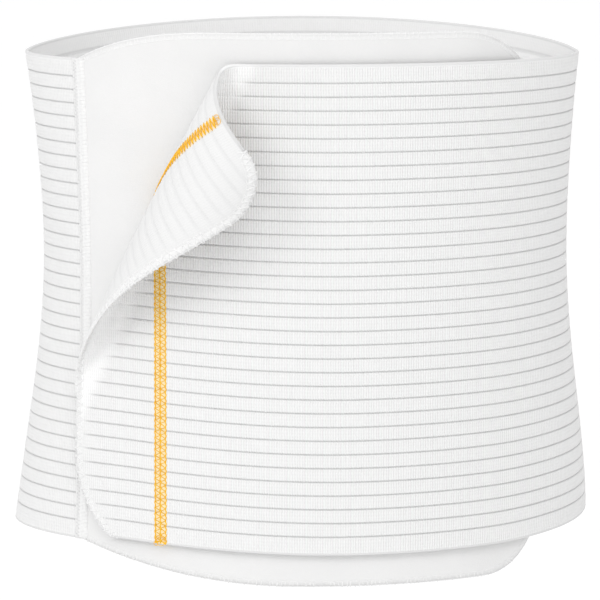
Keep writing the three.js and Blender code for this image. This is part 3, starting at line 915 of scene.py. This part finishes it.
def marker_face_strands():
    strands = []
    halves = int((MARKER_HIGH - MARKER_LOW) / (MARKER_PITCH / 2))
    heights = [MARKER_LOW + i * MARKER_PITCH / 2 for i in range(halves + 1)]
    for place in CHAIN_PLACES:
        path = []
        for i, height in enumerate(heights):
            swing = CHAIN_SWING if i % 2 else -CHAIN_SWING
            path.append(marker_point(place + swing, height, CHAIN_LOW))
            path.append(marker_point(place - swing * CHAIN_RETURN, height + MARKER_PITCH / 4, CHAIN_HIGH))
        strands.append((path, CHAIN_RADIUS))
    for column, sides in enumerate(zip(CHAIN_PLACES, CHAIN_PLACES[1:])):
        path = []
        for i, height in enumerate(heights):
            lift = DICE.uniform(-CROSS_WOBBLE, CROSS_WOBBLE)
            path.append(marker_point(sides[(i + column) % 2], height + lift, CROSS_HEIGHT))
        strands.append((path, CROSS_RADIUS))
    strands.append((tail_ring(centre=0.2, height=1.6, radius=2.3, out=1.4), TAIL_RADIUS))
    strands.append((tail_ring(centre=-2.4, height=0.2, radius=1.1, out=1.4), TAIL_RADIUS))
    return strands


def marker_back_strands():
    strokes = int((SATIN_HIGH - MARKER_LOW) / (SATIN_PITCH / 2))
    path = []
    for i in range(strokes + 1):
        height = MARKER_LOW + i * SATIN_PITCH / 2
        side = 1 if i % 2 else -1
        wide = SATIN_HALF_WIDTH * DICE.uniform(*SATIN_SPREAD)
        path.append(marker_point(-side * wide, height, SATIN_EDGE))
        path.append(marker_point(-side * wide / 2, height + SATIN_PITCH * SATIN_RISE[0], SATIN_CROWN))
        path.append(marker_point(side * wide / 2, height + SATIN_PITCH * SATIN_RISE[1], SATIN_CROWN))
    strands = [(path, SATIN_RADIUS)]
    strands.append((tail_ring(centre=-0.6, height=BAND_HEIGHT - 3.2, radius=1.9, out=-1.4), TAIL_RADIUS))
    strands.append((tail_ring(centre=1.4, height=BAND_HEIGHT - 2.8, radius=1.5, out=-1.5), TAIL_RADIUS))
    return strands


marker_face = add_piece(
    "marker_face_threads",
    thread_mesh("marker_face_threads", marker_face_strands()),
    "marker_stitch_face",
    [GOLDEN_THREAD],
)
marker_back = add_piece(
    "marker_back_threads",
    thread_mesh("marker_back_threads", marker_back_strands()),
    "marker_stitch_back",
    [GOLDEN_THREAD],
)

# Studio: pale floor below the worn binder, soft key light from the left, a weaker one above, even fill
FLOOR_LEVEL = -0.6
FLOOR_SIZE = 60
PAPER_GLOW = 0.115
LIGHT_AIM = Vector((0, -0.08, 0))
floor_bm = bmesh.new()
bmesh.ops.create_grid(floor_bm, x_segments=4, y_segments=4, size=FLOOR_SIZE / 2)
bmesh.ops.translate(floor_bm, verts=floor_bm.verts[:], vec=(0, 0, FLOOR_LEVEL))
floor_mesh = bpy.data.meshes.new("studio_floor")
floor_bm.to_mesh(floor_mesh)
floor_bm.free()
floor = bpy.data.objects.new("studio_floor", floor_mesh)
SCENE.collection.objects.link(floor)
paper = Finish("pale studio paper", roughness=0.9, sheen=0.0, sheen_roughness=0.5)
paper.colour(paper.mix(paper.noise(scale=3), grey(0.97), grey(0.99)))
paper.shader.inputs["Emission Color"].default_value = (1, 1, 1, 1)
paper.shader.inputs["Emission Strength"].default_value = PAPER_GLOW
floor_mesh.materials.append(paper.material)


def add_light(name, size, energy, place):
    data = bpy.data.lights.new(name, "AREA")
    data.shape = "DISK"
    data.size = size
    data.energy = energy
    light = bpy.data.objects.new(name, data)
    light.location = place
    light.rotation_euler = (LIGHT_AIM - light.location).to_track_quat("-Z", "Y").to_euler()
    SCENE.collection.objects.link(light)


add_light("soft_key", size=0.9, energy=8.5, place=(-1.25, -1.3, 1.15))
add_light("soft_top", size=0.5, energy=1.7, place=(0.1, -0.8, 0.8))

# Fill light of the surroundings, weaker from both sides
FILL = 1.0
SIDE_LOSS = 0.37
world = bpy.data.worlds.new("even_fill")
world.use_nodes = True
world_nodes = world.node_tree.nodes
world_links = world.node_tree.links
sky_place = world_nodes.new("ShaderNodeTexCoord")
sky_split = world_nodes.new("ShaderNodeSeparateXYZ")
world_links.new(sky_place.outputs["Generated"], sky_split.inputs[0])
across = world_nodes.new("ShaderNodeMath")
across.operation = "MULTIPLY"
world_links.new(sky_split.outputs["X"], across.inputs[0])
world_links.new(sky_split.outputs["X"], across.inputs[1])
fill = world_nodes.new("ShaderNodeMath")
fill.operation = "MULTIPLY_ADD"
world_links.new(across.outputs[0], fill.inputs[0])
fill.inputs[1].default_value = -FILL * SIDE_LOSS
fill.inputs[2].default_value = FILL
world_links.new(fill.outputs[0], world_nodes["Background"].inputs["Strength"])
world_nodes["Background"].inputs["Color"].default_value = (1, 1, 1, 1)
SCENE.world = world
SCENE.view_settings.view_transform = "Standard"

# Camera at the photograph's viewing angle: its place in metres and its tilt down from level in degrees
CAMERA_PLACE = (0, -1.348, 0.225)
CAMERA_TILT = 9.97
camera_data = bpy.data.cameras.new("front_camera")
camera_data.sensor_width = 36
camera_data.lens = 150.3
camera_data.shift_x = -0.0068
camera_data.clip_end = 200
camera = bpy.data.objects.new("front_camera", camera_data)
camera.location = CAMERA_PLACE
camera.rotation_euler = (math.radians(90 - CAMERA_TILT), 0, 0)
SCENE.collection.objects.link(camera)
SCENE.camera = camera
